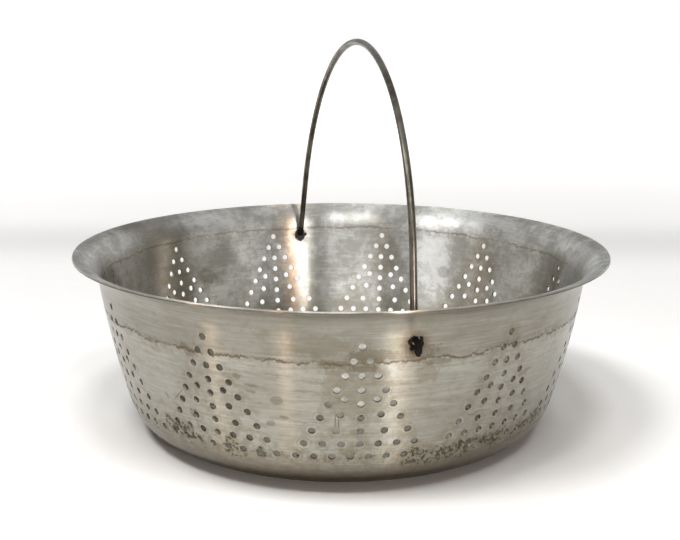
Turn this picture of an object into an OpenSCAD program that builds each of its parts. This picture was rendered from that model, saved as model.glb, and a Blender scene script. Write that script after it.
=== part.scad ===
// Round steel colander with a wire bail handle, all sizes in millimetres.
// The bowl stands on the XY plane with its axis on Z and the bail turns about a line along Y.

/* [Bowl] */
// Diameter over the edge of the flared rim
rim_diameter = 254; // [220:1:300]
// Height from the table to the top of the rim
bowl_height = 85; // [78:1:110]
// Thickness of the steel sheet
sheet = 1.1; // [0.6:0.1:1.6]
// Radius of the underside of the flare below the rim
flare_radius = 13.6; // [8:0.2:20]
// Angle by which the rim still climbs at its edge
lip_climb = 7.5; // [0:0.5:30]
// Lean of the wall from upright at the foot of the flare
wall_lean = 7.9; // [5:0.1:12]
// Radius of the gentle bulge of the wall, seen from the side
wall_radius = 387; // [250:1:900]
// Outer radius of the corner between wall and base
corner_radius = 21.6; // [10:0.2:26]

/* [Drain holes in the wall] */
// Number of triangular groups round the bowl
groups = 11; // [6:1:12]
// Turn of the groups against the line of the bail
group_turn = -9.4; // [-16:0.1:16]
// Diameter of every drain hole
drain_hole = 3.0; // [2:0.1:4]
// Holes in each row of a group, from the top hole down
row_counts = [1, 2, 3, 3, 5, 5, 5, 7, 8];
// Distance along the wall from the flare down to the top hole
first_row = 4.5; // [3:0.1:10]
// Distance along the wall from row to row
row_pitch = 6.3; // [5:0.1:7]
// Angle round the bowl that the bottom row of a group takes up, in degrees
group_angle = 28.4; // [18:0.1:29]
// Lift of the inner holes in the first row of five
first_lift = 2.2; // [0:0.1:2.6]
// Lift of the inner holes in the second row of five
second_lift = 1.4; // [0:0.1:2.6]

/* [Drain holes in the base] */
// Number of rings of holes round the middle hole
base_rings = 4; // [1:1:4]
// Distance from ring to ring
ring_pitch = 16; // [10:0.5:17]

/* [Bail handle] */
// Diameter of the wire
wire = 3.0; // [2:0.1:4]
// Depth of the bail's turning line below the top of the rim
bail_drop = 15.6; // [15:0.1:22]
// Offset of the turning line from the middle of the bowl
bail_offset = 2.2; // [0:0.1:6]
// Play all round the wire in its hole in the wall
bail_play = 0.75; // [0.4:0.05:1.2]
// Height of the top of the arch above the turning line, to the middle of the wire
arch_height = 111.7; // [95:0.1:125]
// Outward lean of the straight lower part of each leg
leg_lean = 14; // [8:0.5:20]
// Radius of both bends at the wire's ends, to the middle of the wire
end_bend = 2.6; // [2.3:0.1:4]
// Gap between the wall and the start of the outer bend
hook_gap = 0.4; // [0.3:0.1:1.5]
// Reach of the cut end below the turning line
hook_reach = 5.2; // [4.8:0.1:7]
// Length of the nipped taper at the cut end
tip_length = 1.5; // [0.5:0.1:2]
// Diameter left at the cut end
tip_diameter = 1.5; // [0.8:0.1:2]
// Lean of the whole bail from upright, as it stands at rest
bail_lean = 2.6; // [0:0.1:10]

/* [Hidden] */
$fn = 72;
// Extra length of a cutter past the sheet
over = 2;
// Flat steps in the arcs of the corner and of the flare; the wall has one per row of holes
corner_steps = 12;
flare_steps = 12;
// Straight pieces of wire are this much thinner all round, and end this far inside the bends
seat = 0.02;
tuck = 0.2;

// Flare: middle of its arcs, and the foot where it meets the wall
lip_angle = 90 - lip_climb;
flare_top = flare_radius + sheet;
flare_mid = [rim_diameter / 2 + flare_radius * cos(lip_angle),
             bowl_height - flare_top * sin(lip_angle)];
flare_foot = flare_mid + flare_radius * [-cos(wall_lean), sin(wall_lean)];

// Wall: middle of its long arc, and the corner arc that it runs into
wall_mid = flare_foot - wall_radius * [cos(wall_lean), -sin(wall_lean)];
corner_drop = corner_radius - wall_mid[1];
corner_shift = sqrt(pow(wall_radius - corner_radius, 2) - pow(corner_drop, 2));
corner_mid = [wall_mid[0] + corner_shift, corner_radius];
corner_angle = atan2(corner_drop, corner_shift);

// Drain holes: how far out the bottom row is, and the growth of half a group's width from row to row
last_row = len(row_counts) - 1;
bottom_angle = wall_lean + (first_row + last_row * row_pitch) / wall_radius * 180 / PI;
bottom_reach = wall_mid[0] + (wall_radius - sheet / 2) * cos(bottom_angle);
row_spread = group_angle / 2 * PI / 180 * bottom_reach / last_row;

// Bail: height of the turning line, and how far out the wall is there
bail_level = bowl_height - bail_drop;
bail_hole = wire + 2 * bail_play;
level_angle = asin((bail_level - wall_mid[1]) / wall_radius);
wall_reach = wall_mid[0] + wall_radius * cos(level_angle);
face_out = sqrt(pow(wall_reach, 2) - pow(bail_offset, 2));
face_in = face_out - sheet / cos(level_angle);

// Bail: where the leg's line meets the turning line, and the arch that fits both legs
bend_turn = 90 - leg_lean;
leg_corner = face_in - end_bend * tan(bend_turn / 2);
arch_lift = (arch_height - leg_corner * cos(leg_lean)) / (1 - sin(leg_lean));
arch_radius = arch_height - arch_lift;

// Points along an arc about a middle, in even steps from one angle to the other
function arc(mid, radius, from, to, steps) = [
    for (i = [0 : steps])
        let(a = from + (to - from) * i / steps)
        mid + radius * [cos(a), sin(a)]
];

// One face of the sheet from the base out to the rim: 0 is the outer face, the sheet the inner
function sheet_face(depth) = concat(
    [[0, depth]],
    arc(corner_mid, corner_radius - depth, -90, corner_angle, corner_steps),
    arc(wall_mid, wall_radius - depth, corner_angle, -wall_lean, len(row_counts)),
    arc(flare_mid, flare_radius + depth, 180 - wall_lean, 180 - lip_angle, flare_steps)
);

// Half section of the sheet, out along one face and back along the other
module bowl_section() {
    back = sheet_face(sheet);
    polygon(concat(sheet_face(0), [for (i = [len(back) - 1 : -1 : 0]) back[i]]));
}

// One hole square to the wall, at a distance down the wall and one to the side
module wall_hole(down, side) {
    rise = -wall_lean - down / wall_radius * 180 / PI;
    spot = wall_mid + (wall_radius - sheet / 2) * [cos(rise), sin(rise)];
    rotate([0, 0, side / spot[0] * 180 / PI])
    translate([spot[0], 0, spot[1]])
    rotate([0, 90 - rise, 0])
    cylinder(h = sheet + 2 * over, d = drain_hole, center = true);
}

// Lift of the inner holes in the two upper rows of five
function lift(row) = row == 4 ? first_lift : row == 5 ? second_lift : 0;

// One triangular group, a row at a time
module hole_group() {
    for (row = [0 : last_row]) {
        count = row_counts[row];
        half = row * row_spread;
        down = first_row + row * row_pitch;
        for (i = [0 : count - 1]) {
            side = count == 1 ? 0 : half * (2 * i / (count - 1) - 1);
            inner = count == 5 && (i == 1 || i == 3);
            wall_hole(down - (inner ? lift(row) : 0), side);
        }
    }
}

// Rings of holes through the base, six more in each ring
module base_holes() {
    translate([0, 0, sheet / 2])
    cylinder(h = sheet + 2 * over, d = drain_hole, center = true);
    for (ring = [1 : base_rings]) {
        for (i = [0 : 6 * ring - 1]) {
            rotate([0, 0, i * 60 / ring])
            translate([ring * ring_pitch, 0, sheet / 2])
            cylinder(h = sheet + 2 * over, d = drain_hole, center = true);
        }
    }
}

module bowl() {
    color("silver")
    difference() {
        rotate_extrude() bowl_section();
        for (i = [0 : groups - 1]) {
            rotate([0, 0, -90 + group_turn + i * 360 / groups]) hole_group();
        }
        base_holes();
        translate([bail_offset, 0, bail_level])
        rotate([90, 0, 0])
        cylinder(h = rim_diameter, d = bail_hole, center = true);
    }
}

// Piece of bent wire about a point, between two angles
module wire_bend(mid, radius, from, to) {
    translate(mid)
    rotate([0, 0, from])
    rotate_extrude(angle = to - from)
    translate([radius, 0])
    circle(d = wire);
}

// Straight piece of wire between two bends, tucked into both
module wire_run(start, end) {
    step = end - start;
    translate(start)
    rotate([0, 0, atan2(step[1], step[0])])
    translate([-tuck, 0, 0])
    rotate([0, 90, 0])
    cylinder(h = norm(step) + 2 * tuck, d = wire - 2 * seat);
}

// Nipped end of the wire, hanging from the outer bend
module wire_tip(start, drop) {
    thick = wire / 2 - seat;
    translate(start)
    rotate([90, 0, 0])
    rotate_extrude()
    polygon([
        [0, -tuck],
        [thick, -tuck],
        [thick, drop - tip_length],
        [tip_diameter / 2, drop],
        [0, drop]
    ]);
}

// One leg and its end: down, out through the hole and down again outside
module bail_end() {
    bend_mid = [face_in, end_bend];
    out = face_out + hook_gap;
    wire_run(
        [0, arch_lift] + arch_radius * [cos(leg_lean), sin(leg_lean)],
        bend_mid - end_bend * [cos(leg_lean), sin(leg_lean)]
    );
    wire_bend(bend_mid, end_bend, 180 + leg_lean, 270);
    wire_run([face_in, 0], [out, 0]);
    wire_bend([out, -end_bend], end_bend, 0, 90);
    wire_tip([out + end_bend, -end_bend], hook_reach - end_bend);
}

module bail_handle() {
    color("dimgray")
    translate([bail_offset, 0, bail_level])
    rotate([0, bail_lean, 0])
    rotate([90, 0, 90]) {
        wire_bend([0, arch_lift], arch_radius, leg_lean, 180 - leg_lean);
        bail_end();
        mirror([1, 0, 0]) bail_end();
    }
}

bowl();
bail_handle();
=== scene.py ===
# %% [markdown]
# A round steel colander with a wire bail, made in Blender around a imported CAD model.
# The CAD model fixes every size, and what is made here is the look: a smooth steel bowl with its drain
# holes, the bent wire, and the worn finish of both. The first step loads the CAD model.

import math

import bpy
from mathutils import Matrix, Vector


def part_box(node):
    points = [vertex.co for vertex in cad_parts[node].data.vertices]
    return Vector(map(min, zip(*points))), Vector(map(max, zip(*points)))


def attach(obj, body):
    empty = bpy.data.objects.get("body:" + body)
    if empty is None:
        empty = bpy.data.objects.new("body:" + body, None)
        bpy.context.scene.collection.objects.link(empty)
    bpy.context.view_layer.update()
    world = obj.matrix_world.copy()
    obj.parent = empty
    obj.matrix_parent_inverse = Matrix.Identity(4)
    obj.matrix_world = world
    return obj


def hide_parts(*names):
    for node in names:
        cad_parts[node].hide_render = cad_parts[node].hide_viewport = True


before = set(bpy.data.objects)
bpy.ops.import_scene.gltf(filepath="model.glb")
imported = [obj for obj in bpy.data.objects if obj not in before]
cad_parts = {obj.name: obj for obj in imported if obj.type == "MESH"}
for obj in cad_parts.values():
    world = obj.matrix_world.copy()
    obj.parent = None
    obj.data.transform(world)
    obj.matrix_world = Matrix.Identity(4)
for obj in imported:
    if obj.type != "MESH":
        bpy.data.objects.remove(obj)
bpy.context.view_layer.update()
bowl_low, bowl_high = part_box("bowl")
RIM_RADIUS = bowl_high.x
RIM_HEIGHT = bowl_high.z

# %% [markdown]
# The camera stands where the photographer stood. Straight lines from the lens to the rim, to the drain
# holes and to the top of the bail fix that place, so it is given as a distance, a height and a turn
# round the bowl, and the small tilt of a camera held by hand.

# %% Camera
CAMERA_DISTANCE = 0.4932
CAMERA_HEIGHT = 0.1840
CAMERA_TURN = math.radians(-13.58)
CAMERA_PITCH = 0.2231
CAMERA_YAW = -0.0011
CAMERA_ROLL = 0.0035
LENS = 54.8


def add_camera():
    """Stands the camera at the photograph's place and turns it as the photographer held it."""
    turn = Matrix.Rotation(CAMERA_TURN, 3, "Z")
    ahead = Vector((math.sin(CAMERA_YAW) * math.cos(CAMERA_PITCH),
                    math.cos(CAMERA_YAW) * math.cos(CAMERA_PITCH),
                    -math.sin(CAMERA_PITCH)))
    right = Vector((math.cos(CAMERA_YAW), -math.sin(CAMERA_YAW), 0))
    tilt = Matrix.Rotation(-CAMERA_ROLL, 3, ahead)
    right = tilt @ right
    above = right.cross(ahead)
    axes = turn @ Matrix((right, above, -ahead)).transposed()
    bpy.ops.object.camera_add()
    camera = bpy.context.object
    camera.name = "photo_camera"
    camera.data.lens = LENS
    camera.data.sensor_width = 36
    camera.data.clip_start = 0.01
    place = turn @ Vector((0, -CAMERA_DISTANCE, CAMERA_HEIGHT))
    camera.matrix_world = Matrix.Translation(place) @ axes.to_4x4()
    bpy.context.scene.camera = camera
    return camera


camera = add_camera()
print("camera at", [round(v, 4) for v in camera.matrix_world.translation])

# %% [markdown]
# A few helpers keep the later cells short. Operators act on all that is selected, so everything is
# deselected before a new piece. Faces and edges are then picked in code, by where they are.


# %% Helpers for modelling
def start_piece():
    """Leaves nothing selected, so that the next operator acts on the new piece alone."""
    if bpy.context.object and bpy.context.object.mode != "OBJECT":
        bpy.ops.object.mode_set(mode="OBJECT")
    bpy.ops.object.select_all(action="DESELECT")


def select_only(piece):
    """Selects one object and makes it the active one."""
    start_piece()
    piece.select_set(True)
    bpy.context.view_layer.objects.active = piece


def place_in_mesh(piece):
    """Puts the object's place, turn and scale into its mesh."""
    select_only(piece)
    bpy.ops.object.transform_apply(location=True, rotation=True, scale=True)


def arc_points(middle, radius, start, end, steps):
    """Points along an arc in the plane of radius and height, angles in degrees, without its first."""
    points = []
    for i in range(1, steps + 1):
        a = math.radians(start + (end - start) * i / steps)
        points.append((middle[0] + radius * math.cos(a), middle[1] + radius * math.sin(a)))
    return points


# %% [markdown]
# The bowl is one pressed sheet. Its section is a flat base, a round corner, a wall with a very gentle
# bulge and a flare that rolls out to the rim. The arcs below touch without a kink, and each centre
# follows from the one before, as on a drawing.

# %% Section of the sheet
SHEET = 0.0011
FLARE_RADIUS = 0.0136
LIP_CLIMB = 7.5
WALL_LEAN = 7.9
WALL_RADIUS = 0.387
CORNER_RADIUS = 0.0216


def polar(angle):
    """Direction at an angle in degrees, in the plane of radius and height."""
    return Vector((math.cos(math.radians(angle)), math.sin(math.radians(angle))))


lip_angle = 90 - LIP_CLIMB
flare_mid = Vector((RIM_RADIUS + FLARE_RADIUS * math.cos(math.radians(lip_angle)),
                    RIM_HEIGHT - (FLARE_RADIUS + SHEET) * math.sin(math.radians(lip_angle))))
flare_foot = flare_mid + FLARE_RADIUS * polar(180 - WALL_LEAN)
wall_mid = flare_foot - WALL_RADIUS * polar(-WALL_LEAN)
corner_drop = CORNER_RADIUS - wall_mid.y
corner_mid = Vector((wall_mid.x + math.sqrt((WALL_RADIUS - CORNER_RADIUS) ** 2 - corner_drop ** 2),
                     CORNER_RADIUS))
corner_angle = math.degrees(math.atan2(corner_drop, corner_mid.x - wall_mid.x))

section = [tuple(corner_mid + CORNER_RADIUS * polar(-90))]
section += arc_points(corner_mid, CORNER_RADIUS, -90, corner_angle, 14)
section += arc_points(wall_mid, WALL_RADIUS, corner_angle, -WALL_LEAN, 22)
section += arc_points(flare_mid, FLARE_RADIUS, 180 - WALL_LEAN, 180 - lip_angle, 14)
print("section has", len(section), "points, base radius", round(section[0][0], 4))

# %% [markdown]
# The bowl could be lathed with Screw or Spin. Here a disc is drawn up instead, much as the real sheet
# is: its edge is extruded again and again, and each new ring is scaled to the next radius. That leaves
# no seam to merge and a flat base in one face. Solidify then gives the sheet its thickness inwards.

# %% The sheet of the bowl
AROUND = 264
OUTER, INNER, CUT_EDGE, HOLE_EDGE = range(4)


def draw_up_bowl():
    """Extrudes the edge of a disc along the section, then thickens the sheet."""
    start_piece()
    bpy.ops.mesh.primitive_circle_add(vertices=AROUND, radius=section[0][0], fill_type="NGON")
    bowl = bpy.context.object
    bowl.name = "steel_bowl"
    bpy.ops.object.mode_set(mode="EDIT")
    bpy.ops.mesh.select_mode(type="EDGE")
    bpy.ops.mesh.select_all(action="SELECT")
    for (near, low), (far, high) in zip(section, section[1:]):
        bpy.ops.mesh.extrude_edges_move(TRANSFORM_OT_translate={"value": (0, 0, high - low)})
        bpy.ops.transform.resize(value=(far / near, far / near, 1), center_override=(0, 0, 0))
    bpy.ops.mesh.select_all(action="SELECT")
    bpy.ops.mesh.normals_make_consistent(inside=False)
    bpy.ops.object.mode_set(mode="OBJECT")
    if bowl.data.polygons[0].normal.z > 0:
        bowl.data.flip_normals()
    sheet = bowl.modifiers.new("sheet", "SOLIDIFY")
    sheet.thickness = SHEET
    sheet.offset = -1
    sheet.use_even_offset = True
    sheet.material_offset = INNER
    sheet.material_offset_rim = CUT_EDGE
    for slot in range(4):
        bowl.data.materials.append(None)
    bpy.ops.object.modifier_apply(modifier=sheet.name)
    return bowl


bowl = draw_up_bowl()
print("sheet of the bowl:", len(bowl.data.polygons), "faces")

# %% [markdown]
# The rim is a plain cut edge, and its two corners are worn round. Only the edges that run round the
# lip, where the outer and the inner face end, are bevelled.

# %% Worn corners of the rim
LIP_WEAR = 0.0003


def round_the_lip(bowl):
    """Bevels the two edge loops of the cut edge of the sheet."""
    select_only(bowl)
    mesh = bowl.data
    lip_faces = [p for p in mesh.polygons if p.material_index == CUT_EDGE]
    keys = set()
    for face in lip_faces:
        for key in face.edge_keys:
            a, b = (mesh.vertices[i].co for i in key)
            if abs(math.hypot(a.x, a.y) - math.hypot(b.x, b.y)) < SHEET / 10:
                keys.add(key)
    bpy.ops.object.mode_set(mode="EDIT")
    bpy.ops.mesh.select_mode(type="EDGE")
    bpy.ops.mesh.select_all(action="DESELECT")
    bpy.ops.object.mode_set(mode="OBJECT")
    for edge in mesh.edges:
        edge.select = tuple(sorted(edge.vertices)) in keys
    bpy.ops.object.mode_set(mode="EDIT")
    bpy.ops.mesh.bevel(offset=LIP_WEAR, segments=2, material=CUT_EDGE)
    bpy.ops.object.mode_set(mode="OBJECT")
    return len(keys)


print("bevelled", round_the_lip(bowl), "edges of the lip")

# %% [markdown]
# Every drain hole is punched square to the sheet. One punch is modelled: a short cylinder whose two
# ends widen a little, so that each hole gets the slightly drawn-in edge that a punch leaves. It is
# copied to each place, all copies are joined, and one Boolean takes them out of the sheet.

# %% One punch
HOLE_RADIUS = 0.0015
PUNCH_SIDES = 24
DRAWN_IN = 0.0001


def make_punch(name, radius):
    """A punch through the middle of the sheet, along Z, that widens at both faces of the sheet."""
    start_piece()
    straight = SHEET - 2 * DRAWN_IN
    bpy.ops.mesh.primitive_cylinder_add(vertices=PUNCH_SIDES, radius=radius, depth=straight)
    punch = bpy.context.object
    punch.name = name
    for side in (1, -1):
        bpy.ops.object.mode_set(mode="EDIT")
        bpy.ops.mesh.select_mode(type="FACE")
        bpy.ops.mesh.select_all(action="DESELECT")
        bpy.ops.object.mode_set(mode="OBJECT")
        for face in punch.data.polygons:
            face.select = face.normal.z * side > 0.9
        bpy.ops.object.mode_set(mode="EDIT")
        reach = 4 * DRAWN_IN
        wider = (radius + 3 * DRAWN_IN) / radius
        bpy.ops.mesh.extrude_region_move(TRANSFORM_OT_translate={"value": (0, 0, side * reach)})
        bpy.ops.transform.resize(value=(wider, wider, 1), center_override=(0, 0, side * reach))
        bpy.ops.object.mode_set(mode="OBJECT")
    return punch


drain_punch = make_punch("drain_punch", HOLE_RADIUS)
print("punch has", len(drain_punch.data.polygons), "faces")

# %% [markdown]
# The holes stand in eleven triangular groups, nine rows each. A row is found by its way down the wall
# from the foot of the flare, and a hole by its way to the side. In two rows the inner holes sit a
# little higher, as on the real bowl. The base has rings of holes round its middle. The two holes of
# the bail are made a little narrower than the CAD has them, because old crust fills the play round
# the wire there.

# %% Places of the holes
GROUPS = 11
GROUP_TURN = -9.4
ROW_COUNTS = [1, 2, 3, 3, 5, 5, 5, 7, 8]
FIRST_ROW = 0.0045
ROW_PITCH = 0.0063
ROW_SPREAD = 0.0032
INNER_LIFT = {4: 0.0022, 5: 0.0014}
BASE_RINGS = 4
RING_PITCH = 0.016
BAIL_LEVEL = RIM_HEIGHT - 0.0156
BAIL_OFFSET = 0.0022
BAIL_HOLE_RADIUS = 0.00175


def wall_place(down, side, turn):
    """Matrix that puts a punch square to the wall, at a way down it, a way to the side and a turn."""
    rise = -math.radians(WALL_LEAN) - down / WALL_RADIUS
    middle = WALL_RADIUS - SHEET / 2
    radius = wall_mid.x + middle * math.cos(rise)
    height = wall_mid.y + middle * math.sin(rise)
    about = Matrix.Rotation(math.radians(turn) + side / radius, 4, "Z")
    return about @ Matrix.Translation((radius, 0, height)) @ Matrix.Rotation(math.pi / 2 - rise, 4, "Y")


def drain_hole_places():
    """Matrices of all drain holes in wall and base."""
    places = []
    for group in range(GROUPS):
        turn = -90 + GROUP_TURN + group * 360 / GROUPS
        for row, count in enumerate(ROW_COUNTS):
            for i in range(count):
                side = row * ROW_SPREAD * (2 * i / (count - 1) - 1) if count > 1 else 0
                lift = INNER_LIFT.get(row, 0) if i in (1, 3) else 0
                places.append(wall_place(FIRST_ROW + row * ROW_PITCH - lift, side, turn))
    places.append(Matrix.Translation((0, 0, SHEET / 2)))
    for ring in range(1, BASE_RINGS + 1):
        for i in range(6 * ring):
            a = math.radians(i * 60 / ring)
            places.append(Matrix.Translation((ring * RING_PITCH * math.cos(a),
                                              ring * RING_PITCH * math.sin(a), SHEET / 2)))
    return places


def bail_hole_places():
    """Matrices of the two holes that carry the bail, level and in line along Y."""
    rise = math.asin((BAIL_LEVEL - wall_mid.y) / WALL_RADIUS)
    reach = wall_mid.x + (WALL_RADIUS - SHEET / 2) * math.cos(rise)
    flat = Matrix.Rotation(math.pi / 2, 4, "X")
    return [Matrix.Translation((BAIL_OFFSET, side * reach, BAIL_LEVEL)) @ flat for side in (1, -1)]


print("drain holes:", len(drain_hole_places()))

# %% Punch the holes


def copies_of(punch, places):
    """Copies of a punch at all places, each with its own mesh."""
    made = []
    for place in places:
        copy = punch.copy()
        copy.data = punch.data.copy()
        copy.data.transform(place)
        bpy.context.scene.collection.objects.link(copy)
        made.append(copy)
    return made


def punch_holes(bowl):
    """Joins all punches into one tool and takes it out of the sheet."""
    bail_punch = make_punch("bail_punch", BAIL_HOLE_RADIUS)
    tools = copies_of(drain_punch, drain_hole_places()) + copies_of(bail_punch, bail_hole_places())
    for punch in (drain_punch, bail_punch):
        bpy.data.objects.remove(punch)
    start_piece()
    for tool in tools:
        tool.select_set(True)
    bpy.context.view_layer.objects.active = tools[0]
    bpy.ops.object.join()
    tool = bpy.context.object
    for slot in range(4):
        tool.data.materials.append(None)
    for face in tool.data.polygons:
        face.material_index = HOLE_EDGE
    select_only(bowl)
    cut = bowl.modifiers.new("holes", "BOOLEAN")
    cut.operation = "DIFFERENCE"
    cut.solver = "MANIFOLD"
    cut.object = tool
    bpy.ops.object.modifier_apply(modifier=cut.name)
    bpy.data.objects.remove(tool)


punch_holes(bowl)
print("punched bowl:", len(bowl.data.polygons), "faces,",
      sum(len(p.vertices) - 2 for p in bowl.data.polygons), "triangles")

# %% [markdown]
# A Boolean leaves long flat faces round every hole, and smooth shading would bend over them and show
# dents that aren't there. The sheet is a surface of revolution, so its true normal is known at every
# point: it points away from the middle of the arc that the point lies on. These normals are given to
# the corners of the sheet's faces, and the edges of the holes keep their own.

# %% True normals of the sheet


def sheet_normal(point, inner):
    """Normal of the outer or inner face of the sheet at a point on it."""
    radius = math.hypot(point.x, point.y)
    spot = Vector((radius, point.z))
    if radius <= corner_mid.x:
        flat = Vector((0, -1))
    elif spot.y < corner_mid.y and spot.y - corner_mid.y < math.tan(math.radians(corner_angle)) * (
            radius - corner_mid.x):
        flat = (spot - corner_mid).normalized()
    elif spot.y < flare_foot.y:
        flat = (spot - wall_mid).normalized()
    else:
        flat = (flare_mid - spot).normalized()
    if inner:
        flat = -flat
    if radius < 1e-6:
        return Vector((0, 0, flat.y))
    return Vector((flat.x * point.x / radius, flat.x * point.y / radius, flat.y))


def set_sheet_normals(bowl):
    """Smooth shading with the sheet's true normals on its outer and inner face."""
    select_only(bowl)
    bpy.ops.object.shade_smooth_by_angle(angle=math.radians(35))
    mesh = bowl.data
    normals = [Vector((0, 0, 0))] * len(mesh.loops)
    for face in mesh.polygons:
        if face.material_index in (OUTER, INNER):
            for loop in face.loop_indices:
                point = mesh.vertices[mesh.loops[loop].vertex_index].co
                normals[loop] = sheet_normal(point, face.material_index == INNER)
    mesh.normals_split_custom_set(normals)
    agree = sum(1 for p in mesh.polygons if p.material_index in (OUTER, INNER)
                and p.normal.dot(normals[p.loop_indices[0]]) > 0.9)
    return agree


print("faces whose true normal agrees:", set_sheet_normals(bowl))

# %% [markdown]
# The bail is one length of wire, and it is made as a wire bender makes it: a ring is the wire's cross
# section, extruded for each straight run and spun for each bend, from one cut end to the other. It
# goes in upright, and is leaned over at the end as the photograph shows it.

# %% Sizes of the bail
WIRE_RADIUS = 0.0015
WIRE_SIDES = 24
ARCH_HEIGHT = 0.1117
LEG_LEAN = math.radians(14)
END_BEND = 0.0026
HOOK_GAP = 0.0004
HOOK_REACH = 0.0052
TIP_LENGTH = 0.0015
TIP_RADIUS = 0.00075
BAIL_LEAN = math.radians(2.6)

level_angle = math.asin((BAIL_LEVEL - wall_mid.y) / WALL_RADIUS)
wall_reach = wall_mid.x + WALL_RADIUS * math.cos(level_angle)
face_out = math.sqrt(wall_reach ** 2 - BAIL_OFFSET ** 2)
face_in = face_out - SHEET / math.cos(level_angle)
leg_corner = face_in - END_BEND * math.tan((math.pi / 2 - LEG_LEAN) / 2)
arch_lift = (ARCH_HEIGHT - leg_corner * math.cos(LEG_LEAN)) / (1 - math.sin(LEG_LEAN))
arch_radius = ARCH_HEIGHT - arch_lift
hook_out = face_out + HOOK_GAP
print("arch radius", round(arch_radius, 4), "legs reach", round(face_out, 4))

# %% Bend the wire


def run_wire(y, z):
    """A straight run of wire, by so much along Y and Z."""
    bpy.ops.mesh.extrude_edges_move(TRANSFORM_OT_translate={"value": (0, y, z)})


def bend_wire(y, z, angle, steps):
    """A bend about a point in the plane of the bail. A positive angle turns from Y towards Z."""
    bpy.ops.mesh.spin(steps=steps, angle=angle, center=(0, y, z), axis=(-1, 0, 0))


def bend_bail():
    """The whole bail from one cut end to the other, upright, with its turning line on the Y axis."""
    start_piece()
    bpy.ops.mesh.primitive_circle_add(vertices=WIRE_SIDES, radius=TIP_RADIUS, fill_type="NOTHING",
                                      location=(0, hook_out + END_BEND, -HOOK_REACH))
    bail = bpy.context.object
    bail.name = "wire_bail"
    place_in_mesh(bail)
    bpy.ops.object.mode_set(mode="EDIT")
    bpy.ops.mesh.select_mode(type="EDGE")
    bpy.ops.mesh.select_all(action="SELECT")
    bpy.ops.mesh.edge_face_add()
    run_wire(0, TIP_LENGTH)
    wider = WIRE_RADIUS / TIP_RADIUS
    bpy.ops.transform.resize(value=(wider, wider, 1), center_override=(0, hook_out + END_BEND, 0))
    run_wire(0, HOOK_REACH - TIP_LENGTH - END_BEND)
    bend_wire(hook_out, -END_BEND, math.pi / 2, 10)
    run_wire(face_in - hook_out, 0)
    bend_wire(face_in, END_BEND, LEG_LEAN - math.pi / 2, 10)
    leg_top = Vector((0, arch_radius * math.cos(LEG_LEAN), arch_lift + arch_radius * math.sin(LEG_LEAN)))
    leg_foot = Vector((0, face_in - END_BEND * math.cos(LEG_LEAN), END_BEND - END_BEND * math.sin(LEG_LEAN)))
    leg = leg_top - leg_foot
    run_wire(leg.y, leg.z)
    bend_wire(0, arch_lift, math.pi - 2 * LEG_LEAN, 72)
    run_wire(leg.y, -leg.z)
    bend_wire(-face_in, END_BEND, LEG_LEAN - math.pi / 2, 10)
    run_wire(face_in - hook_out, 0)
    bend_wire(-hook_out, -END_BEND, math.pi / 2, 10)
    run_wire(0, -(HOOK_REACH - TIP_LENGTH - END_BEND))
    run_wire(0, -TIP_LENGTH)
    bpy.ops.transform.resize(value=(1 / wider, 1 / wider, 1), center_override=(0, -hook_out - END_BEND, 0))
    bpy.ops.mesh.edge_face_add()
    bpy.ops.mesh.select_all(action="SELECT")
    bpy.ops.mesh.remove_doubles(threshold=1e-6)
    bpy.ops.mesh.normals_make_consistent(inside=False)
    bpy.ops.object.mode_set(mode="OBJECT")
    bail.matrix_world = (Matrix.Translation((BAIL_OFFSET, 0, BAIL_LEVEL))
                         @ Matrix.Rotation(BAIL_LEAN, 4, "Y"))
    place_in_mesh(bail)
    bpy.ops.object.shade_smooth_by_angle(angle=math.radians(40))
    return bail


bail = bend_bail()
tops = [v.co.z for v in bail.data.vertices]
print("bail:", len(bail.data.polygons), "faces, from", round(min(tops), 4), "to", round(max(tops), 4))

# %% [markdown]
# Materials are node trees. Two small helpers add a node with its inputs by name, and a sum or product
# of two values. A third turns a value into a soft mask between two limits.

# %% Helpers for materials


def put(tree, kind, sockets=None, **settings):
    """Adds one node. Its inputs are given by name, each a plain value or the socket that feeds it."""
    node = tree.nodes.new(kind)
    for name, value in settings.items():
        setattr(node, name, value)
    for name, value in (sockets or {}).items():
        if isinstance(value, bpy.types.NodeSocket):
            tree.links.new(value, node.inputs[name])
        else:
            node.inputs[name].default_value = value
    return node


def calc(tree, operation, *values):
    """One step of arithmetic on values or sockets."""
    node = put(tree, "ShaderNodeMath", operation=operation)
    for socket, value in zip(node.inputs, values):
        if isinstance(value, bpy.types.NodeSocket):
            tree.links.new(value, socket)
        else:
            socket.default_value = value
    return node.outputs[0]


def mask(tree, value, low, high):
    """A soft mask: 0 where the value is at low, 1 where it is at high."""
    node = put(tree, "ShaderNodeMapRange", {"Value": value, "From Min": low, "From Max": high},
               interpolation_type="SMOOTHSTEP")
    return node.outputs[0]


def blend_colour(tree, share, one, other):
    """A colour between two, by a share from 0 to 1."""
    node = put(tree, "ShaderNodeMix", data_type="RGBA")
    for index, value in ((0, share), (6, one), (7, other)):
        if isinstance(value, bpy.types.NodeSocket):
            tree.links.new(value, node.inputs[index])
        else:
            node.inputs[index].default_value = value
    return node.outputs[2]


def noise(tree, vector, scale, detail=3, rough=0.5, **more):
    """A noise value from 0 to 1 on a vector."""
    node = put(tree, "ShaderNodeTexNoise", {"Vector": vector, "Scale": scale, "Detail": detail,
                                            "Roughness": rough, **more})
    return node.outputs["Fac"]


def paint_layers(tree, colour, layers):
    """Lays one colour after the other over a first one, each through its mask and with its strength."""
    for share, strength, paint in layers:
        colour = blend_colour(tree, calc(tree, "MULTIPLY", share, strength), colour, paint)
    return colour


def strongest(tree, *shares):
    """The largest of some masks, each given with its strength."""
    total = 0.0
    for share, strength in shares:
        total = calc(tree, "MAXIMUM", calc(tree, "MULTIPLY", share, strength), total)
    return total


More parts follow.
